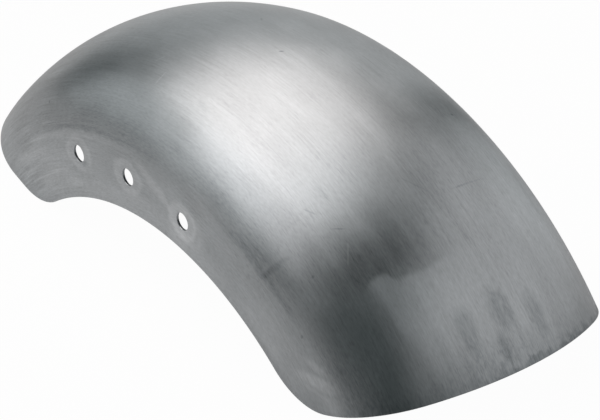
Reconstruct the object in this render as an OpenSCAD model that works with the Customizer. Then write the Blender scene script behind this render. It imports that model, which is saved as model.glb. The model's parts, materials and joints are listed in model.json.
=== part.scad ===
// Rear fender of a motorcycle: one pressed steel shell, turned about the wheel axle and trimmed to length.
// Sizes are in millimetres and degrees. The part stands on its four lower corners, as it lies on a bench.
// +X points to the rear end, +Y to the right-hand skirt, +Z up.

/* [Shell] */
// radius from the wheel axle to the outside of the crown
crown_r = 332; // [318:1:345]
// overall width across the two skirts
fender_w = 214; // [180:1:244]
// thickness of the steel sheet
sheet_t = 1.9; // [1.2:0.1:3.5]
// radius from the wheel axle to the lower edge of the skirts
skirt_r = 224.5; // [208:0.5:234]

/* [Cross section] */
// radius of the arc across the crown
crown_arc_r = 163; // [135:1:210]
// radius of the shoulders between crown and skirts
shoulder_r = 62; // [45:1:76]

/* [Front end] */
// how far the front end lies ahead of the top, about the axle
front_angle = 53; // [47:0.5:60]
// slope of the front edge in side view
front_cut = 16; // [10:0.5:26]
// rounding of the two front lower corners
front_corner_r = 50; // [25:1:60]

/* [Rear end] */
// how far the rear end lies behind the top, about the axle
rear_angle = 51; // [45:0.5:58]
// slope of the rear edge in side view
rear_cut = 24; // [16:0.5:32]
// rounding of the two rear lower corners
rear_corner_r = 54; // [25:1:64]

/* [Strut holes] */
// diameter of the strut bolt holes
hole_d = 12.7; // [8:0.1:16]
// height of the front hole's centre above the skirt's lower edge
front_hole_rise = 33.3; // [14:0.1:40]
// angle of the front hole ahead of the top
front_hole_angle = 21.6; // [16:0.1:28]
// height of the middle hole's centre above the skirt's lower edge
middle_hole_rise = 27.3; // [14:0.1:40]
// angle of the middle hole ahead of the top
middle_hole_angle = 7.45; // [2:0.05:12]
// height of the rear hole's centre above the skirt's lower edge
rear_hole_rise = 23.2; // [14:0.1:40]
// angle of the rear hole behind the top
rear_hole_angle = 7.3; // [2:0.1:14]

/* [Hidden] */
spin_fn = 120;
arc_fn = 96;
hole_fn = 48;
half_w = fender_w / 2;

// cross section, in the plane of radius and width: the crown's arc runs into each shoulder without a corner
crown_c = crown_r - crown_arc_r;
shoulder_y = half_w - shoulder_r;
shoulder_c = crown_c + sqrt(pow(crown_arc_r - shoulder_r, 2) - pow(shoulder_y, 2));
shoulder_start = atan2(shoulder_y, shoulder_c - crown_c);

// side view: an end's point on the crown, the way its edge runs inwards, and the way from the edge into the sheet
// side is -1 at the front and 1 at the rear
function end_point(side, angle) = crown_r * [side * sin(angle), cos(angle)];
function edge_way(side, cut) = [-side * cos(cut), -sin(cut)];
function sheet_way(side, cut) = [-side * sin(cut), cos(cut)];
// centre of the corner rounding that touches both the end's edge and the skirt's lower edge
function raised(side, angle, cut, r) = end_point(side, angle) + r * sheet_way(side, cut);
function reach(a, d, r) = -(a * d) - sqrt(pow(a * d, 2) - a * a + pow(skirt_r + r, 2));
function corner(side, angle, cut, r) =
    raised(side, angle, cut, r)
    + reach(raised(side, angle, cut, r), edge_way(side, cut), r) * edge_way(side, cut);

front_c = corner(-1, front_angle, front_cut, front_corner_r);
rear_c = corner(1, rear_angle, rear_cut, rear_corner_r);
corner_gap = rear_c - front_c;

// turned about the axle until the front and rear corners stand on one level
settle = asin((rear_corner_r - front_corner_r) / norm(corner_gap)) - atan2(corner_gap[1], corner_gap[0]);
low_z = front_c[0] * sin(settle) + front_c[1] * cos(settle) - front_corner_r;
middle_x = crown_r * (sin(rear_angle - settle) - sin(front_angle + settle)) / 2;

module arc_band(r, from, to) {
    intersection() {
        difference() {
            circle(r = r, $fn = arc_fn);
            circle(r = r - sheet_t, $fn = arc_fn);
        }
        polygon([[0, 0], 2 * r * [cos(from), sin(from)], 2 * r * [cos(to), sin(to)]]);
    }
}

module half_section() {
    translate([shoulder_c, shoulder_y]) arc_band(shoulder_r, shoulder_start, 90);
    translate([skirt_r - 20, half_w - sheet_t]) square([shoulder_c - skirt_r + 20, sheet_t]);
}

module section() {
    translate([crown_c, 0]) arc_band(crown_arc_r, -shoulder_start, shoulder_start);
    half_section();
    mirror([0, 1]) half_section();
}

module above_edge(side, angle, cut) {
    translate(end_point(side, angle)) rotate(side * cut) translate([-700, 0]) square([1400, 600]);
}

module corner_waste(side, c, cut, r) {
    inward = -c / norm(c);
    down = -sheet_way(side, cut);
    tip = (inward + down) / norm(inward + down);
    difference() {
        polygon([c, c + (r + 8) * inward, c + (1.4 * r + 8) * tip, c + (r + 8) * down]);
        translate(c) circle(r = r, $fn = arc_fn);
    }
}

module side_outline() {
    difference() {
        intersection() {
            above_edge(-1, front_angle, front_cut);
            above_edge(1, rear_angle, rear_cut);
        }
        circle(r = skirt_r, $fn = spin_fn);
        corner_waste(-1, front_c, front_cut, front_corner_r);
        corner_waste(1, rear_c, rear_cut, rear_corner_r);
    }
}

module strut_hole(rise, angle) {
    translate((skirt_r + rise) * [-sin(angle), cos(angle), 0])
        cylinder(d = hole_d, h = fender_w + 20, center = true, $fn = hole_fn);
}

// the shell about the axle, with the axle along Z and the top along Y
module shell() {
    difference() {
        intersection() {
            rotate([0, 0, 90 - rear_angle - 6])
                rotate_extrude(angle = rear_angle + front_angle + 12, $fn = spin_fn) section();
            linear_extrude(height = fender_w + 20, center = true) side_outline();
        }
        strut_hole(front_hole_rise, front_hole_angle);
        strut_hole(middle_hole_rise, middle_hole_angle);
        strut_hole(rear_hole_rise, -rear_hole_angle);
    }
}

module fender() {
    color("#9a9d9f")
        translate([-middle_x, 0, -low_z]) rotate([90, 0, 0]) rotate([0, 0, settle]) shell();
}

fender();
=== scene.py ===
import json
import math

import bmesh
import bpy
from mathutils import Matrix, Vector
from mathutils.kdtree import KDTree


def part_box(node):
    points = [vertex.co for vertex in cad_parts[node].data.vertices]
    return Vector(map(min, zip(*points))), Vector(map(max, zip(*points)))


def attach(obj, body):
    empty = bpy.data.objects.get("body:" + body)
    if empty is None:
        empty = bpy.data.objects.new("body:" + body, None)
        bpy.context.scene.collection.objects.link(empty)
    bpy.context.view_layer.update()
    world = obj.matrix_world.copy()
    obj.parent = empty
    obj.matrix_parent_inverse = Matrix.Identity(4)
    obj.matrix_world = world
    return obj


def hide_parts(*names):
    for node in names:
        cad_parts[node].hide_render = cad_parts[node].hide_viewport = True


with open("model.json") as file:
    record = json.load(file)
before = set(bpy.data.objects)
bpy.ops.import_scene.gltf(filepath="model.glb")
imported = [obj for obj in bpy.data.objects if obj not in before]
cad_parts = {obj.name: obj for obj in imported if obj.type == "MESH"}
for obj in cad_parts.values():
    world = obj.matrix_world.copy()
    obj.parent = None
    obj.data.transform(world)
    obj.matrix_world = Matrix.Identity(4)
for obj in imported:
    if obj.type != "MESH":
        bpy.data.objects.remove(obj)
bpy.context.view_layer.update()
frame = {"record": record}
fenderLow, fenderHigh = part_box("fender")
boltHoles = [m for m in frame["record"]["mounts"] if m["kind"] == "bore"]

# metres and degrees; +X is the rear end, +Y the right-hand skirt
fenderShape = {
    "crownRadius": 0.332,        # wheel axle to the outside of the crown
    "width": 0.214,
    "sheet": 0.0019,
    "skirtRadius": 0.2245,       # wheel axle to the skirts' lower edge
    "crownArc": 0.163,           # radius across the crown
    "shoulderArc": 0.062,
    "front": {"side": -1, "angle": 53.0, "cut": 16.0, "corner": 0.050},
    "rear": {"side": 1, "angle": 51.0, "cut": 24.0, "corner": 0.054},
    "stepsRound": 208,
    "stepsCrown": 26,
    "stepsShoulder": 26,
    "stepsSkirt": 10,
    "cornerCuts": 24,
    "sweepMargin": 5.0,          # the sheet is swept this much past each end before it is trimmed
    "weld": 0.000001,            # points this near each other become one
    "snap": 0.00002,             # points this near a cut are pulled onto it
    "rimStrip": 0.0008,          # even strip of faces along every edge, which the rounding uses
    "rimSpacing": 0.0007,
    "holeSides": 48,
    "holeClear": 0.0015,
    "edgeRound": 0.00035,
    "edgeSteps": 2,
    "edgeAngle": 40.0,           # edges sharper than this are rounded
    "rimDepth": (0.03, 0.97),    # points between these shares of the sheet's depth count as its rim
}


def endPoint(end):
    a = math.radians(end["angle"])
    r = fenderShape["crownRadius"]
    return Vector((end["side"] * r * math.sin(a), 0, r * math.cos(a)))


def intoSheet(end):
    # square to the end's edge, towards the rest of the fender
    a = math.radians(end["cut"])
    return Vector((-end["side"] * math.sin(a), 0, math.cos(a)))


def alongEdge(end):
    # down the end's edge, from the crown to the lower corner
    a = math.radians(end["cut"])
    return Vector((-end["side"] * math.cos(a), 0, -math.sin(a)))


def cornerCentre(end):
    # centre of the rounding that touches the end's edge and the skirt's lower edge
    raised = endPoint(end) + end["corner"] * intoSheet(end)
    away = fenderShape["skirtRadius"] + end["corner"]
    b = raised.dot(alongEdge(end))
    return raised + (-b - math.sqrt(b * b - raised.length_squared + away * away)) * alongEdge(end)


def axlePlace():
    # the fender stands level on its four corners, which sets how far it is turned about the axle
    f = cornerCentre(fenderShape["front"])
    r = cornerCentre(fenderShape["rear"])
    rise = fenderShape["rear"]["corner"] - fenderShape["front"]["corner"]
    turn = math.asin(rise / (r - f).length) - math.atan2(r.z - f.z, r.x - f.x)
    frontTurn = math.radians(fenderShape["front"]["angle"]) + turn
    x = fenderLow.x + fenderShape["crownRadius"] * math.sin(frontTurn)
    return turn, Vector((x, 0, fenderHigh.z - fenderShape["crownRadius"]))


def crossSection():
    # the shoulder's arc starts where the crown's arc has turned this far
    s = fenderShape
    crownCentre = s["crownRadius"] - s["crownArc"]
    shoulderY = s["width"] / 2 - s["shoulderArc"]
    shoulderCentre = crownCentre + math.sqrt((s["crownArc"] - s["shoulderArc"]) ** 2 - shoulderY ** 2)
    start = math.atan2(shoulderY, shoulderCentre - crownCentre)
    return crownCentre, shoulderY, shoulderCentre, start


def lastPoint(result):
    return [v for v in result["geom_last"] if isinstance(v, bmesh.types.BMVert)]


def sweptSheet(bm):
    # half of the cross section, from the middle of the crown down to the skirt's lower edge
    s = fenderShape
    crownCentre, shoulderY, shoulderCentre, start = crossSection()
    tip = [bm.verts.new((0, 0, s["crownRadius"]))]
    tip = lastPoint(bmesh.ops.spin(
        bm, geom=tip, cent=(0, 0, crownCentre), axis=(1, 0, 0), angle=-start, steps=s["stepsCrown"]))
    tip = lastPoint(bmesh.ops.spin(
        bm, geom=tip, cent=(0, shoulderY, shoulderCentre), axis=(1, 0, 0),
        angle=start - math.pi / 2, steps=s["stepsShoulder"]))
    drop = (shoulderCentre - s["skirtRadius"] - s["rimStrip"]) / s["stepsSkirt"]
    for _ in range(s["stepsSkirt"]):
        made = bmesh.ops.extrude_vert_indiv(bm, verts=tip)
        tip = made["verts"]
        bmesh.ops.translate(bm, verts=tip, vec=(0, 0, -drop))
    bmesh.ops.mirror(bm, geom=bm.verts[:] + bm.edges[:], axis="Y", merge_dist=s["weld"])
    bmesh.ops.remove_doubles(bm, verts=bm.verts, dist=s["weld"])
    margin = math.radians(s["sweepMargin"])
    rearAngle = math.radians(s["rear"]["angle"]) + margin
    frontAngle = math.radians(s["front"]["angle"]) + margin
    bmesh.ops.rotate(bm, verts=bm.verts, cent=(0, 0, 0), matrix=Matrix.Rotation(rearAngle, 3, "Y"))
    bmesh.ops.spin(
        bm, geom=bm.verts[:] + bm.edges[:], cent=(0, 0, 0), axis=(0, 1, 0),
        angle=-(rearAngle + frontAngle), steps=s["stepsRound"])
    bmesh.ops.remove_doubles(bm, verts=bm.verts, dist=s["weld"])


def once(items):
    # each item one time and in this order, since the order of a set changes from run to run
    return list(dict.fromkeys(items))


def inOrder(bm):
    # Blender's own order of new parts changes from run to run, and which points merge depends on it
    points = sorted(bm.verts, key=lambda v: tuple(v.co))
    number = {v: i for i, v in enumerate(points)}
    rings = []
    for f in bm.faces:
        ring = [number[v] for v in f.verts]
        first = ring.index(min(ring))
        rings.append(ring[first:] + ring[:first])
    ordered = bmesh.new()
    made = [ordered.verts.new(v.co) for v in points]
    for ring in sorted(rings):
        ordered.faces.new([made[i] for i in ring])
    bm.free()
    ordered.normal_update()
    return ordered


def cutAway(bm, faces, point, outward):
    verts = once(v for f in faces for v in f.verts)
    edges = once(e for f in faces for e in f.edges)
    bmesh.ops.bisect_plane(
        bm, geom=verts + edges + faces, dist=fenderShape["snap"],
        plane_co=point, plane_no=outward, use_snap_center=True, clear_outer=True)


def trimEnd(bm, end):
    # cut short of the true outline by the width of the rim strip, which rimStrip adds
    strip = fenderShape["rimStrip"]
    cutAway(bm, bm.faces[:], endPoint(end) + strip * intoSheet(end), -intoSheet(end))
    centre = cornerCentre(end)
    inward = -centre.normalized()
    beyond = Vector((-inward.z, 0, inward.x))
    if beyond.dot(endPoint(end)) < 0:
        beyond.negate()
    bmesh.ops.bisect_plane(
        bm, geom=bm.verts[:] + bm.edges[:] + bm.faces[:], dist=fenderShape["snap"],
        plane_co=centre, plane_no=beyond, use_snap_center=True)
    sweep = inward.angle(-intoSheet(end))
    cuts = fenderShape["cornerCuts"]
    for k in range(cuts):
        part = (k + 0.5) / cuts
        way = inward * math.sin((1 - part) * sweep) - intoSheet(end) * math.sin(part * sweep)
        way.normalize()
        corner = [f for f in bm.faces if beyond.dot(f.calc_center_median() - centre) > 0]
        cutAway(bm, corner, centre + (end["corner"] - strip) * way, way)


def evenOut(bm):
    # the cuts leave points crowded along the edge: merge them, and then what lies too near the edge
    near = fenderShape["rimSpacing"]
    rim = [v for v in bm.verts if v.is_boundary]
    bmesh.ops.remove_doubles(bm, verts=rim, dist=near)
    rim = [v for v in bm.verts if v.is_boundary]
    found = bmesh.ops.find_doubles(bm, verts=bm.verts[:], keep_verts=rim, dist=near)
    bmesh.ops.weld_verts(bm, targetmap=found["targetmap"])
    bmesh.ops.dissolve_degenerate(bm, edges=bm.edges[:], dist=fenderShape["weld"])


def rimStrip(bm, edges, width):
    # a strip of four-sided faces outside the given edges, even in width, for a clean rounded edge
    ways = {}
    for e in edges:
        face = e.link_faces[0]
        out = (e.verts[1].co - e.verts[0].co).cross(face.normal).normalized()
        if out.dot(face.calc_center_median() - e.verts[0].co) > 0:
            out.negate()
        for v in e.verts:
            ways.setdefault(v, []).append(out)
    made = bmesh.ops.extrude_edge_only(bm, edges=edges)["geom"]
    for v in (g for g in made if isinstance(g, bmesh.types.BMVert)):
        start = next(e.other_vert(v) for e in v.link_edges if e.other_vert(v) in ways)
        way = sum(ways[start], Vector()).normalized()
        v.co += way * width / way.dot(ways[start][0])


def drillHole(bm, hole):
    s = fenderShape
    spot = Vector(hole["pos_m"])
    side = math.copysign(1, spot.y)
    radius = hole["dims"]["r_mm"] / 1000
    middle = Vector((spot.x, side * s["width"] / 2, spot.z))
    block = [f for f in bm.faces if f.calc_center_median().y * side > 0
             and min((v.co - middle).length for v in f.verts) < radius + s["rimStrip"] + s["holeClear"]]
    inside = set(block)
    edge = once(e for f in block for e in f.edges if any(g not in inside for g in e.link_faces))
    bmesh.ops.delete(bm, geom=block, context="FACES")
    around = Matrix.Translation(middle) @ Matrix.Rotation(math.pi / 2, 4, "X")
    ring = bmesh.ops.create_circle(
        bm, segments=s["holeSides"], radius=radius + s["rimStrip"], matrix=around)["verts"]
    for v in ring:
        v.co.y = side * sectionWidth(v.co - s["axle"])
    ringEdges = once(e for v in ring for e in v.link_edges)
    bmesh.ops.triangle_fill(
        bm, edges=edge + ringEdges, use_beauty=True, normal=(0, side, 0))
    made = bmesh.ops.extrude_edge_only(bm, edges=ringEdges)["geom"]
    for v in (g for g in made if isinstance(g, bmesh.types.BMVert)):
        flat = Vector((v.co.x - middle.x, 0, v.co.z - middle.z))
        v.co += flat.normalized() * (radius - flat.length)
        v.co.y = side * sectionWidth(v.co - s["axle"])


def sectionWidth(place):
    # half the fender's outside width at a place measured from the axle
    shoulderY, shoulderCentre = crossSection()[1:3]
    above = max(math.hypot(place.x, place.z) - shoulderCentre, 0)
    return shoulderY + math.sqrt(fenderShape["shoulderArc"] ** 2 - above ** 2)


def shownMesh(piece):
    # the mesh with its modifiers, made its own
    seen = piece.evaluated_get(bpy.context.evaluated_depsgraph_get())
    made = bpy.data.meshes.new_from_object(seen)
    piece.modifiers.clear()
    piece.data = made


def mapPlace(p):
    # where a place measured from the axle lies on the unrolled steel: metres across and metres round
    s = fenderShape
    crownCentre, shoulderY, shoulderCentre, start = crossSection()
    out = math.hypot(p.x, p.z)
    y = abs(p.y)
    turned = math.atan2(y, out - crownCentre)
    if turned < start:
        across = s["crownArc"] * turned
    else:
        bend = math.atan2(y - shoulderY, out - shoulderCentre)
        across = s["crownArc"] * start + s["shoulderArc"] * (min(bend, math.pi / 2) - start)
        across += max(shoulderCentre - out, 0)
    return math.copysign(across, p.y), math.atan2(p.x, p.z) * s["crownRadius"]


def depthShare(p):
    # 0 on the outside face, 1 on the inside one
    s = fenderShape
    crownCentre, shoulderY, shoulderCentre, start = crossSection()
    out = math.hypot(p.x, p.z)
    y = abs(p.y)
    if math.atan2(y, out - crownCentre) < start:
        below = s["crownArc"] - math.hypot(y, out - crownCentre)
    elif out > shoulderCentre:
        below = s["shoulderArc"] - math.hypot(y - shoulderY, out - shoulderCentre)
    else:
        below = s["width"] / 2 - y
    return below / s["sheet"]


def unrolled(piece, axle):
    # one metre of the map is one metre of steel: u runs across the section, v round the axle
    points = [v.co - axle for v in piece.data.vertices]
    places = [mapPlace(p) for p in points]
    layer = piece.data.uv_layers.new(name="unrolled")
    for loop in piece.data.loops:
        layer.data[loop.index].uv = places[loop.vertex_index]
    depths = [depthShare(p) for p in points]
    piece.data.attributes.new("depth", "FLOAT", "POINT").data.foreach_set("value", depths)
    outer, inner = fenderShape["rimDepth"]
    rim = [p for p, depth in zip(points, depths) if outer < depth < inner]
    tree = KDTree(len(rim))
    for i, p in enumerate(rim):
        tree.insert(p, i)
    tree.balance()
    toEdge = [tree.find(p)[2] for p in points]
    piece.data.attributes.new("toEdge", "FLOAT", "POINT").data.foreach_set("value", toEdge)


def makeFender():
    turn, axle = axlePlace()
    fenderShape["axle"] = axle
    bm = bmesh.new()
    sweptSheet(bm)
    bm = inOrder(bm)
    trimEnd(bm, fenderShape["front"])
    trimEnd(bm, fenderShape["rear"])
    bmesh.ops.delete(bm, geom=[v for v in bm.verts if not v.link_faces], context="VERTS")
    evenOut(bm)
    bm.normal_update()
    rimStrip(bm, [e for e in bm.edges if e.is_boundary], fenderShape["rimStrip"])
    bm = inOrder(bm)
    bmesh.ops.rotate(bm, verts=bm.verts, cent=(0, 0, 0), matrix=Matrix.Rotation(-turn, 3, "Y"))
    bmesh.ops.translate(bm, verts=bm.verts, vec=axle)
    for hole in boltHoles:
        drillHole(bm, hole)
    bm = inOrder(bm)
    bmesh.ops.recalc_face_normals(bm, faces=bm.faces)
    top = Vector((axle.x, 0, fenderHigh.z))
    topFace = min(bm.faces, key=lambda f: (f.calc_center_median() - top).length)
    if topFace.normal.z < 0:
        bmesh.ops.reverse_faces(bm, faces=bm.faces)
    mesh = bpy.data.meshes.new("fenderShell")
    for f in bm.faces:
        f.smooth = True
    bm.to_mesh(mesh)
    bm.free()
    piece = bpy.data.objects.new("fenderShell", mesh)
    bpy.context.scene.collection.objects.link(piece)
    wall = piece.modifiers.new("wall", "SOLIDIFY")
    wall.thickness = fenderShape["sheet"]
    wall.offset = -1
    wall.use_even_offset = True
    rounded = piece.modifiers.new("edges", "BEVEL")
    rounded.width = fenderShape["edgeRound"]
    rounded.segments = fenderShape["edgeSteps"]
    rounded.limit_method = "ANGLE"
    rounded.angle_limit = math.radians(fenderShape["edgeAngle"])
    rounded.harden_normals = True
    shownMesh(piece)
    unrolled(piece, axle)
    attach(piece, "root")
    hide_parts("fender")
    print("fender shell:", len(piece.data.polygons), "faces")
    return piece


# places and half sizes are metres across the section and round the axle, as on the unrolled map, and a patch
# has a place, half size, turn in degrees and softness; a noise has its cells to the metre across and round,
# and its detail; other pairs say where a change starts and ends, or its least and most
steelLook = {
    "colour": (0.384, 0.404, 0.417),
    "roughness": (0.34, 0.38),
    "anisotropy": 0.6,
    "wander": (0.0048, 0.0072, 0),   # outlines of the soft marks wander by this much
    "wanderScale": 60.0,
    "wanderDetail": 3.0,
    "noiseSpan": (0.3, 0.7),     # nearly all of a noise lies in it
    "patchSpan": (0.36, 0.64),   # a shorter one, for flatter patches
    # changes of shade are shares of the colour
    "grain": (0.085, 0.045),     # at large and in the finer patch
    "grainNoise": (1400, 210, 3.0),
    "grainRise": 0.00003,
    "grainBump": 0.5,
    "finePatch": ((-0.030, 0.020), (0.085, 0.120), 0, 0.5),
    "flecks": -1.0,              # short dark lines, as a share of the grain's change
    "fleckNoise": (900, 150, 2.0),
    "fleckLevel": (0.58, 0.70),
    "streaks": 0.045,
    "streakNoise": (620, 24, 3.0),
    "streakPatches": (0.35, 1.65),
    "streakPatchNoise": (55, 30, 2.0),
    "front": (-0.08, -0.22),     # streaks grow towards the front end
    "frontStreaks": 2.1,
    "broadStreaks": 0.040,
    "broadNoise": (170, 9, 3.0),
    "bothEnds": (0.10, 0.20),    # broad streaks grow towards both ends
    "middleStreaks": 0.4,
    "clouds": 0.06,
    "cloudNoise": (40, 22, 4.0),
    "mottle": (0.78, 1.20),      # the soft marks are this uneven
    "mottleNoise": (420, 130, 3.0),
    "markTint": (0.020, 0.0, -0.006),
    "markRoughness": -0.10,
    "insideDepth": (0.4, 0.6),   # shares of the sheet's depth, as for the rim
    "insideShade": -0.22,
    "insideRoughness": 0.12,
    "rimShade": 0.10,
    "rimDepth": (0.02, 0.2),
    "ring": {
        "half": (0.0130, 0.0215),
        "soft": 0.16,
        "shade": 0.18,
        "inner": 0.72,           # size and shade of the duller middle, as shares of the ring's
        "innerSoft": 0.3,
        "innerShade": -0.5,
    },
    "dirt": {
        "shade": -0.24,
        "noise": (110, 90, 4.0),
        "reach": 0.016,
        "outline": (-0.002, -0.007),
        "rear": (0.262, 0.280),
        "sides": (-0.055, 0.010),
        "leftShare": 0.25,
    },
    "specks": {
        "shade": -0.08,
        "noise": (300, 200, 2.0),
        "level": (0.54, 0.66),
        "patch": ((-0.015, 0.280), (0.030, 0.013), 0, 0.6),
    },
    "sanding": {
        # the patch's lift is partly its duller sanded finish and partly painted light, for rougher steel
        # catching more light
        "shade": 0.08,
        "roughness": 0.03,
        "start": (0.1985, 0.2045),
        "side": (-0.1030, -0.0920),
        "slant": 0.12,           # its side moves this far across for each metre round
        "step": 0.008,           # to the right of here its start lies this much farther back
        "stepFrom": (-0.062, -0.053),
        "fadeOut": (0.060, 0.0),
        # painted highlight near the patch's corner
        "glow": ((-0.055, 0.228), (0.032, 0.026), 0, 0.7),
        "paintedHighlightAmount": 0.30,
        # painted shade before the patch, where the steel mirrors a darker part of the room
        "dark": ((-0.064, 0.191), (0.028, 0.015), 0, 0.6),
        "paintedShadeAmount": -0.24,
    },
    "marks": {
        # place, half size, turn in degrees, softness, shade
        "frontHoleSmudge": ((-0.1535, -0.1190), (0.0032, 0.0050), 0, 0.6, -0.20),
        "middleHoleTail": ((-0.145, -0.002), (0.0045, 0.026), 20, 0.5, 0.16),
        "rearHolePatch": ((-0.157, 0.050), (0.013, 0.026), 0, 0.25, 0.13),
        "rearHoleTail": ((-0.171, 0.036), (0.012, 0.015), 0, 0.4, 0.12),
        "rearHoleLight": ((-0.128, 0.066), (0.0060, 0.028), 0, 0.7, 0.13),
        "frontLight": ((-0.152, -0.195), (0.012, 0.045), 0, 0.8, 0.07),
        # painted shade: the nose is darkened where it mirrors a darker part of the room
        "nosePaintedShade": ((-0.113, -0.262), (0.016, 0.026), 0, 0.8, -0.04),
        # painted shade: a darker band along the near shoulder, where it mirrors the darker room
        "shoulderPaintedShade": ((-0.119, 0.010), (0.010, 0.190), 0, 0.7, -0.10),
        "shoulderLine": ((-0.1285, 0.138), (0.0034, 0.050), 0, 0.5, -0.18),
        "shoulderStain": ((-0.123, 0.126), (0.004, 0.016), -6, 0.6, -0.12),
        "shoulderCross": ((-0.120, 0.151), (0.0140, 0.0022), 12, 0.7, -0.14),
        # painted light: the rear of the skirt is lighter, where it mirrors the bright floor beside it
        "rearSkirtPaintedLight": ((-0.158, 0.200), (0.015, 0.045), 0, 0.8, 0.15),
        # painted reflection: the skirt's lower edge is lighter, as if the bright floor beside it were
        # mirrored
        "skirtLowPaintedReflection": ((-0.171, 0.030), (0.008, 0.260), 0, 0.8, 0.12),
        # painted shade: the rear corner of the shoulder is darker, where it mirrors a dark part of the room
        "cornerPaintedShade": ((-0.110, 0.262), (0.018, 0.032), 0, 0.8, -0.24),
        "rearSkirtSmear": ((-0.141, 0.240), (0.0045, 0.021), -45, 0.65, 0.24),
        "rearSkirtStroke": ((-0.147, 0.246), (0.0016, 0.016), -38, 0.7, 0.11),
        "rearSkirtEdge": ((-0.136, 0.262), (0.008, 0.012), 0, 0.7, 0.14),
        "blotchLeft": ((-0.031, 0.259), (0.0058, 0.015), 5, 0.45, -0.19),
        "blotchMiddle": ((-0.002, 0.255), (0.0080, 0.014), 0, 0.45, -0.20),
        "blotchRight": ((0.022, 0.266), (0.0070, 0.014), 0, 0.45, -0.18),
        "blotchSmall": ((-0.012, 0.278), (0.0040, 0.009), 0, 0.5, -0.18),
        "lowerBlotch": ((0.066, 0.106), (0.011, 0.014), 0, 0.8, -0.13),
        # painted shade: darker along the rear edge
        "rearPaintedShade": ((-0.042, 0.296), (0.098, 0.020), 0, 0.8, -0.20),
        # painted light: the rear right corner is lighter
        "rearRightPaintedLight": ((0.086, 0.262), (0.020, 0.040), 0, 0.8, 0.18),
        "rearSkirtStreak": ((-0.133, 0.232), (0.0030, 0.014), -30, 0.6, 0.16),
        "frontLine": ((-0.1315, -0.130), (0.0022, 0.080), 0, 0.6, 0.10),
        "frontShade": ((-0.1265, -0.110), (0.0022, 0.090), 0, 0.6, -0.10),
        "frontStreak": ((-0.140, -0.225), (0.0035, 0.035), 3, 0.6, 0.12),
        "frontStreakLow": ((-0.160, -0.190), (0.0040, 0.030), -3, 0.6, 0.10),
        "crownStain": ((-0.076, 0.012), (0.0015, 0.006), 20, 0.7, -0.08),
    },
    "scratches": {
        "lightCut": ((-0.0750, -0.0417), (0.0060, 0.0006), -5, 0.5, 0.18),
        "lightArc": ((-0.0608, -0.0603), (0.0042, 0.0006), 33, 0.5, 0.14),
        "crownNick": ((-0.0060, 0.0095), (0.0018, 0.0008), 30, 0.5, -0.35),
        "frontTick": ((0.0160, -0.0420), (0.0026, 0.0007), -55, 0.5, -0.18),
        "crossLine": ((0.0290, 0.1700), (0.0130, 0.0006), 0, 0.6, -0.08),
        "crossHead": ((0.0225, 0.1702), (0.0040, 0.0009), 0, 0.5, -0.10),
        "paleLine": ((-0.0730, 0.1775), (0.0085, 0.0005), -58.7, 0.5, 0.20),
        "darkTick": ((-0.0685, 0.1590), (0.0040, 0.0005), 36, 0.5, -0.20),
        "highlightArc": ((-0.0770, 0.1370), (0.0050, 0.0006), 62, 0.5, -0.13),
        "highlightMark": ((-0.0630, 0.1320), (0.0016, 0.0060), 0, 0.6, -0.10),
        "shoulderSpot": ((-0.0994, 0.1764), (0.0010, 0.0011), 0, 0.4, -0.22),
        "skirtSpot": ((-0.1302, 0.2057), (0.0013, 0.0014), 0, 0.4, -0.26),
        "lowerSpot": ((0.0660, 0.1120), (0.0012, 0.0012), 0, 0.4, -0.30),
        "noseTick": ((-0.1067, -0.1763), (0.0012, 0.0013), 0, 0.4, -0.30),
        "rearScratch": ((-0.0092, 0.1560), (0.0088, 0.0006), 56, 0.5, -0.10),
    },
}


class Nodes:
    # short calls for the nodes of one tree
    def __init__(self, tree):
        self.tree = tree
        tree.nodes.clear()

    def add(self, kind, inputs=None, **settings):
        node = self.tree.nodes.new(kind)
        for name, value in settings.items():
            setattr(node, name, value)
        for name, value in (inputs or {}).items():
            if isinstance(value, bpy.types.NodeSocket):
                self.tree.links.new(value, node.inputs[name])
            else:
                node.inputs[name].default_value = value
        return node

    def link(self, source, target):
        self.tree.links.new(source, target)


def maths(n, operation, *values):
    return n.add("ShaderNodeMath", dict(enumerate(values)), operation=operation).outputs["Value"]


def product(n, a, b):
    return maths(n, "MULTIPLY", a, b)


def addTo(n, total, mask, amount):
    return maths(n, "MULTIPLY_ADD", mask, amount, total)


def rest(n, share):
    return maths(n, "SUBTRACT", 1.0, share)


def ramp(n, value, low, high, atLow=0.0, atHigh=1.0, smooth=True):
    node = n.add("ShaderNodeMapRange", {"Value": value, "From Min": low, "From Max": high,
                                        "To Min": atLow, "To Max": atHigh},
                 interpolation_type="SMOOTHSTEP" if smooth else "LINEAR")
    return node.outputs["Result"]


def drawnNoise(n, place, across, along, detail):
    # noise drawn out round the axle, as the steel was brushed
    cells = n.add("ShaderNodeMapping", {"Vector": place, "Scale": (across, along, 1)})
    noise = n.add("ShaderNodeTexNoise", {"Vector": cells.outputs["Vector"], "Scale": 1.0, "Detail": detail},
                  noise_dimensions="2D")
    return noise.outputs["Fac"]


def swing(n, noise, least, most, span="noiseSpan"):
    return ramp(n, noise, *steelLook[span], least, most, False)


def patch(n, place, at, half, turn, soft):
    # 1 within an ellipse on the unrolled map and 0 beyond it
    local = n.add("ShaderNodeMapping", {
        "Vector": place, "Location": (at[0], at[1], 0), "Rotation": (0, 0, math.radians(turn)),
        "Scale": (half[0], half[1], 1)}, vector_type="TEXTURE")
    away = n.add("ShaderNodeVectorMath", {0: local.outputs["Vector"]}, operation="LENGTH")
    return ramp(n, away.outputs["Value"], 1 + soft, 1 - soft)


def wandering(n, place):
    look = steelLook
    noise = n.add("ShaderNodeTexNoise", {"Vector": place, "Scale": look["wanderScale"],
                                         "Detail": look["wanderDetail"]}, noise_dimensions="2D")
    offset = n.add("ShaderNodeVectorMath", {0: noise.outputs["Color"], 1: (0.5, 0.5, 0.5)},
                   operation="SUBTRACT")
    moved = n.add("ShaderNodeVectorMath", {0: offset.outputs["Vector"], 1: look["wander"], 2: place},
                  operation="MULTIPLY_ADD")
    return moved.outputs["Vector"]


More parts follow.
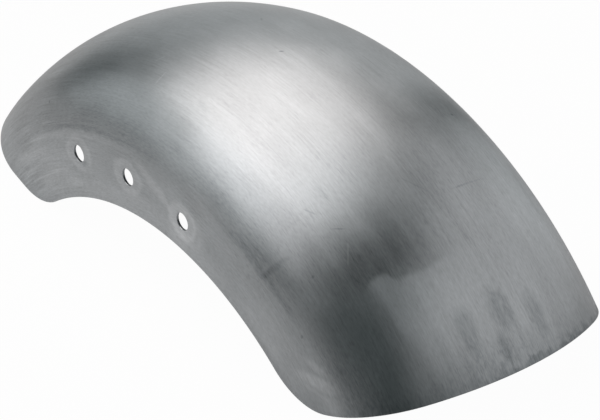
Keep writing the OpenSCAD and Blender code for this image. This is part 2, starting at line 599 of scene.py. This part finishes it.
def brushing(n, place, loose, along):
    # fine grain with short dark flecks, streaks that grow towards the ends, and wide soft clouds
    look = steelLook
    grain = drawnNoise(n, place, *look["grainNoise"])
    streaks = drawnNoise(n, place, *look["streakNoise"])
    broad = drawnNoise(n, place, *look["broadNoise"])
    clouds = drawnNoise(n, loose, *look["cloudNoise"])
    finer = ramp(n, patch(n, loose, *look["finePatch"]), 0.0, 1.0, *look["grain"], False)
    shade = addTo(n, 1.0, swing(n, grain, -1.0, 1.0), finer)
    flecks = ramp(n, drawnNoise(n, place, *look["fleckNoise"]), *look["fleckLevel"], 0.0, look["flecks"])
    shade = addTo(n, shade, flecks, finer)
    patches = drawnNoise(n, loose, *look["streakPatchNoise"])
    patchy = swing(n, patches, *look["streakPatches"], "patchSpan")
    wilder = product(n, ramp(n, along, *look["front"], 1.0, look["frontStreaks"]), patchy)
    shade = addTo(n, shade, swing(n, streaks, -look["streaks"], look["streaks"]), wilder)
    fromMiddle = maths(n, "ABSOLUTE", along)
    atEnds = ramp(n, fromMiddle, *look["bothEnds"], look["middleStreaks"], 1.0)
    shade = addTo(n, shade, swing(n, broad, -look["broadStreaks"], look["broadStreaks"]), atEnds)
    shade = addTo(n, shade, swing(n, clouds, -look["clouds"], look["clouds"]), 1.0)
    return shade, grain, clouds


def holeRings(n, marks, loose, along, axle):
    # ground rings round the bolt holes of both skirts
    ring = steelLook["ring"]
    mirrored = n.add("ShaderNodeVectorMath", {0: loose}, operation="ABSOLUTE").outputs["Vector"]
    bothSides = n.add("ShaderNodeSeparateXYZ", {"Vector": mirrored})
    folded = n.add("ShaderNodeCombineXYZ", {"X": bothSides.outputs["X"], "Y": along}).outputs["Vector"]
    for hole in boltHoles:
        if hole["pos_m"][1] > 0:
            at = mapPlace(Vector(hole["pos_m"]) - axle)
            whole = patch(n, folded, at, ring["half"], 0, ring["soft"])
            near = patch(n, folded, at, [h * ring["inner"] for h in ring["half"]], 0, ring["innerSoft"])
            marks = addTo(n, marks, whole, ring["shade"])
            marks = addTo(n, marks, near, ring["innerShade"] * ring["shade"])
    return marks


def rearDirt(n, marks, place, loose, across, along, toEdge):
    # dirt creeping in from the rear edge, and a few specks before it
    dirt = steelLook["dirt"]
    creep = addTo(n, toEdge, drawnNoise(n, loose, *dirt["noise"]), -dirt["reach"])
    mask = product(n, ramp(n, creep, *dirt["outline"]), ramp(n, along, *dirt["rear"]))
    mask = product(n, mask, ramp(n, across, *dirt["sides"], dirt["leftShare"], 1.0))
    marks = addTo(n, marks, mask, dirt["shade"])
    specks = steelLook["specks"]
    mask = product(n, ramp(n, drawnNoise(n, place, *specks["noise"]), *specks["level"]),
                   patch(n, loose, *specks["patch"]))
    return addTo(n, marks, mask, specks["shade"])


def allMarks(n, place, loose, across, along, toEdge, axle):
    look = steelLook
    marks = 0.0
    for at, half, turn, soft, change in look["marks"].values():
        marks = addTo(n, marks, patch(n, loose, at, half, turn, soft), change)
    mottle = drawnNoise(n, loose, *look["mottleNoise"])
    marks = product(n, marks, swing(n, mottle, *look["mottle"], "patchSpan"))
    for at, half, turn, soft, change in look["scratches"].values():
        marks = addTo(n, marks, patch(n, place, at, half, turn, soft), change)
    marks = holeRings(n, marks, loose, along, axle)
    return rearDirt(n, marks, place, loose, across, along, toEdge)


def sandedPatch(n, shade, loose, across, along, outside):
    # at the rear end, lighter within a crisp outline, partly from a duller sanded finish and partly painted
    # light, with a painted highlight near its corner and painted shade before it
    look = steelLook["sanding"]
    slanted = addTo(n, across, along, -look["slant"])
    stepped = addTo(n, along, ramp(n, across, *look["stepFrom"]), -look["step"])
    sanded = product(n, ramp(n, stepped, *look["start"]), ramp(n, slanted, *look["side"]))
    before = rest(n, sanded)
    sanded = product(n, product(n, sanded, ramp(n, across, *look["fadeOut"])), outside)
    glow = patch(n, loose, *look["glow"])
    shade = addTo(n, shade, sanded, addTo(n, look["shade"], glow, look["paintedHighlightAmount"]))
    dark = product(n, product(n, patch(n, loose, *look["dark"]), before), outside)
    return addTo(n, shade, dark, look["paintedShadeAmount"]), sanded


def brushedSteel(axle):
    material = bpy.data.materials.new("brushedSteel")
    material.use_nodes = True
    n = Nodes(material.node_tree)
    out = n.add("ShaderNodeOutputMaterial")
    place = n.add("ShaderNodeUVMap", uv_map="unrolled").outputs["UV"]
    loose = wandering(n, place)
    sides = n.add("ShaderNodeSeparateXYZ", {"Vector": loose})
    across, along = sides.outputs["X"], sides.outputs["Y"]
    depth = n.add("ShaderNodeAttribute", attribute_name="depth").outputs["Fac"]
    toEdge = n.add("ShaderNodeAttribute", attribute_name="toEdge").outputs["Fac"]
    inside = ramp(n, depth, *steelLook["insideDepth"])
    outside = rest(n, inside)
    wall = maths(n, "PINGPONG", depth, 0.5)

    look = steelLook
    shade, grain, clouds = brushing(n, place, loose, along)
    marks = allMarks(n, place, loose, across, along, toEdge, axle)
    shade = addTo(n, shade, marks, outside)
    shade, sanded = sandedPatch(n, shade, loose, across, along, outside)
    shade = addTo(n, shade, inside, look["insideShade"])
    shade = addTo(n, shade, ramp(n, wall, *look["rimDepth"]), look["rimShade"])
    rough = swing(n, clouds, *look["roughness"])
    rough = addTo(n, rough, marks, look["markRoughness"])
    rough = addTo(n, rough, inside, look["insideRoughness"])
    rough = addTo(n, rough, sanded, look["sanding"]["roughness"])

    colour = n.add("ShaderNodeVectorMath", {0: look["colour"], "Scale": shade}, operation="SCALE")
    # darker marks are cooler too
    colour = n.add("ShaderNodeVectorMath", {0: marks, 1: look["markTint"], 2: colour.outputs["Vector"]},
                   operation="MULTIPLY_ADD")
    bump = n.add("ShaderNodeBump", {"Height": grain, "Strength": look["grainBump"],
                                    "Distance": look["grainRise"]})
    tangent = n.add("ShaderNodeTangent", direction_type="UV_MAP", uv_map="unrolled")
    metal = n.add("ShaderNodeBsdfPrincipled", {
        "Base Color": colour.outputs["Vector"], "Metallic": 1.0, "Roughness": rough,
        "Anisotropic": look["anisotropy"], "Tangent": tangent.outputs["Tangent"],
        "Normal": bump.outputs["Normal"]})
    n.link(metal.outputs["BSDF"], out.inputs["Surface"])
    print("steel:", len(material.node_tree.nodes), "nodes")
    return material


lightPlan = {
    # way from the fender as azimuth from +X and elevation, width and height, radiance, share of each side
    # over which it fades, and tint
    "overhead": {"azimuth": 177.1, "elevation": 62.0, "wide": 3.76, "high": 2.20,
                 "radiance": 2.127, "fade": 0.39, "tint": (1.08, 1.0, 0.968)},
    "leftBox": {"azimuth": -139.4, "elevation": 25.4, "wide": 2.40, "high": 1.88,
                "radiance": 0.602, "fade": 0.12, "tint": (0.985, 1.0, 1.0)},
    "rightPanel": {"azimuth": 45.4, "elevation": 32.6, "wide": 3.67, "high": 2.03,
                   "radiance": 0.683, "fade": 0.03, "tint": (1.045, 1.0, 0.997)},
    "topStrip": {"azimuth": -86.9, "elevation": 81.9, "wide": 0.78, "high": 1.87,
                 "radiance": 1.398, "fade": 0.23, "tint": (1.03, 1.0, 0.99)},
    "lowBox": {"azimuth": 142.6, "elevation": 18.9, "wide": 1.95, "high": 1.44,
               "radiance": 0.481, "fade": 0.07, "tint": (1.0, 1.0, 1.0)},
    "leftStrip": {"azimuth": -110.9, "elevation": 42.3, "wide": 1.20, "high": 1.88,
                  "radiance": 1.071, "fade": 0.04, "tint": (1.05, 1.0, 0.995)},
    "rightLow": {"azimuth": 97.0, "elevation": 10.0, "wide": 0.86, "high": 0.79,
                 "radiance": 0.692, "fade": 0.06, "tint": (1.0, 1.0, 1.0)},
}
studioPlan = {
    "lampsAway": 1.8,
    "floorSize": 6,
    "floorGap": 0.0002,          # the floor lies this far below the fender
    "paperCentre": (-0.35, 0.20, 0),
    "paperEdge": (0.45, 0.95),   # painted shade: between these distances from its centre the paper is painted darker, as for a darker room
    "paperNear": 0.40,
    "paperFar": 0.27,
    # shares of plain white in the floor: what the camera sees, and what the steel mirrors everywhere
    "floorToCamera": 0.975,
    "floorToSteel": 0.133,
    "paintedPaperLight": [
        # painted light, a glow on the paper that only the steel mirrors: centre, where that glow starts and
        # stops to fade, share
        ((-1.3, 0.55, 0), (0.3, 0.8), 0.527),
        ((-0.08, -0.02, 0), (0.1, 0.4), 0.185),
        ((0.15, -0.18, 0), (0.1, 0.4), 0.035),
    ],
    "world": 0.087,
    "worldTint": (0.80, 1.0, 1.0, 1),
    "worldToCamera": 1.0,
    "worldToSteel": 0.0,
}
plainWhite = (1, 1, 1, 1)


def softEdge(lamp, fade):
    # the cloth of a softbox is brightest in its middle: the light fades over this share of each side
    lamp.use_nodes = True
    n = Nodes(lamp.node_tree)
    out = n.add("ShaderNodeOutputLight")
    place = n.add("ShaderNodeNewGeometry")
    sides = n.add("ShaderNodeSeparateXYZ", {"Vector": place.outputs["Parametric"]})
    parts = [ramp(n, maths(n, "PINGPONG", sides.outputs[axis], 0.5), 0.0, fade) for axis in "XY"]
    glow = n.add("ShaderNodeEmission", {"Strength": product(n, *parts)})
    n.link(glow.outputs["Emission"], out.inputs["Surface"])


def areaLamp(name, plan, target):
    a = math.radians(plan["azimuth"])
    e = math.radians(plan["elevation"])
    way = Vector((math.cos(a) * math.cos(e), math.sin(a) * math.cos(e), math.sin(e)))
    lamp = bpy.data.lights.new(name, "AREA")
    lamp.shape = "RECTANGLE"
    lamp.size = plan["wide"]
    lamp.size_y = plan["high"]
    lamp.energy = plan["radiance"] * math.pi * plan["wide"] * plan["high"]
    lamp.color = plan["tint"]
    softEdge(lamp, plan["fade"])
    holder = bpy.data.objects.new(name, lamp)
    holder.location = target + way * studioPlan["lampsAway"]
    holder.rotation_mode = "QUATERNION"
    holder.rotation_quaternion = way.to_track_quat("Z", "Y")
    holder.visible_camera = False
    bpy.context.scene.collection.objects.link(holder)


def whiteShare(n, toCamera, toSteel):
    # how much plain white a ray gets: one share for the camera, one for mirrored and let-through rays
    ray = n.add("ShaderNodeLightPath")
    camera = product(n, ray.outputs["Is Camera Ray"], toCamera)
    bent = maths(n, "ADD", ray.outputs["Is Glossy Ray"], ray.outputs["Is Transmission Ray"])
    return addTo(n, camera, bent, toSteel)


def paintedLightDisc(n, place, centre, edge, inside, beyond):
    away = n.add("ShaderNodeVectorMath", {0: place, 1: centre}, operation="DISTANCE").outputs["Value"]
    return ramp(n, away, edge[0], edge[1], inside, beyond)


def palePaper():
    plan = studioPlan
    material = bpy.data.materials.new("palePaper")
    material.use_nodes = True
    n = Nodes(material.node_tree)
    out = n.add("ShaderNodeOutputMaterial")
    place = n.add("ShaderNodeNewGeometry").outputs["Position"]
    # painted shade: the paper is darker away from its centre
    shade = paintedLightDisc(n, place, plan["paperCentre"], plan["paperEdge"], plan["paperNear"], plan["paperFar"])
    toSteel = plan["floorToSteel"]
    # painted light: pools of glow on the paper, which only the steel mirrors
    for centre, edge, share in plan["paintedPaperLight"]:
        toSteel = addTo(n, toSteel, paintedLightDisc(n, place, centre, edge, share, 0.0), 1.0)
    # the mixed shader takes the share of white away from the paper, so this puts it back
    shade = maths(n, "DIVIDE", shade, rest(n, toSteel))
    grey = n.add("ShaderNodeCombineXYZ", {0: shade, 1: shade, 2: shade})
    paper = n.add("ShaderNodeBsdfDiffuse", {"Color": grey.outputs["Vector"]})
    white = n.add("ShaderNodeEmission", {"Color": plainWhite, "Strength": 1.0})
    share = whiteShare(n, plan["floorToCamera"], toSteel)
    mixed = n.add("ShaderNodeMixShader", {"Fac": share, 1: paper.outputs["BSDF"],
                                          2: white.outputs["Emission"]})
    n.link(mixed.outputs["Shader"], out.inputs["Surface"])
    return material


def makeFloor():
    bm = bmesh.new()
    bmesh.ops.create_grid(bm, x_segments=1, y_segments=1, size=studioPlan["floorSize"])
    mesh = bpy.data.meshes.new("studioFloor")
    bm.to_mesh(mesh)
    bm.free()
    floor = bpy.data.objects.new("studioFloor", mesh)
    floor.location.z = fenderLow.z - studioPlan["floorGap"]
    bpy.context.scene.collection.objects.link(floor)
    mesh.materials.append(palePaper())


def makeWorld():
    world = bpy.data.worlds.new("studio")
    world.use_nodes = True
    n = Nodes(world.node_tree)
    out = n.add("ShaderNodeOutputWorld")
    room = n.add("ShaderNodeBackground", {"Color": studioPlan["worldTint"], "Strength": studioPlan["world"]})
    white = n.add("ShaderNodeBackground", {"Color": plainWhite, "Strength": 1.0})
    share = whiteShare(n, studioPlan["worldToCamera"], studioPlan["worldToSteel"])
    mixed = n.add("ShaderNodeMixShader", {"Fac": share, 1: room.outputs["Background"],
                                          2: white.outputs["Background"]})
    n.link(mixed.outputs["Shader"], out.inputs["Surface"])
    bpy.context.scene.world = world


cameraPlan = {
    # azimuth 0 looks along +Y, with +X to the right
    "azimuth": 51.89,
    "elevation": 32.11,
    "away": 1.4926,
    "target": (0.0259, 0, 0.0370),
    "lens": 127.06,
    "sensor": 36.0,
    "clip": (0.05, 30),
}


def makeCamera():
    c = cameraPlan
    a = math.radians(c["azimuth"])
    e = math.radians(c["elevation"])
    back = Vector((math.sin(a) * math.cos(e), -math.cos(a) * math.cos(e), math.sin(e)))
    cam = bpy.data.cameras.new("camera")
    cam.lens = c["lens"]
    cam.sensor_width = c["sensor"]
    cam.clip_start, cam.clip_end = c["clip"]
    holder = bpy.data.objects.new("camera", cam)
    holder.location = Vector(c["target"]) + back * c["away"]
    holder.rotation_mode = "QUATERNION"
    holder.rotation_quaternion = back.to_track_quat("Z", "Y")
    bpy.context.scene.collection.objects.link(holder)
    bpy.context.scene.camera = holder


makeCamera()
fender = makeFender()
fender.data.materials.clear()
fender.data.materials.append(brushedSteel(fenderShape["axle"]))
print("steel done")
makeFloor()
middle = (fenderLow + fenderHigh) / 2
for lampName, lampPlan in lightPlan.items():
    areaLamp(lampName, lampPlan, middle)
makeWorld()
bpy.context.scene.view_settings.view_transform = "Standard"
print("studio done")
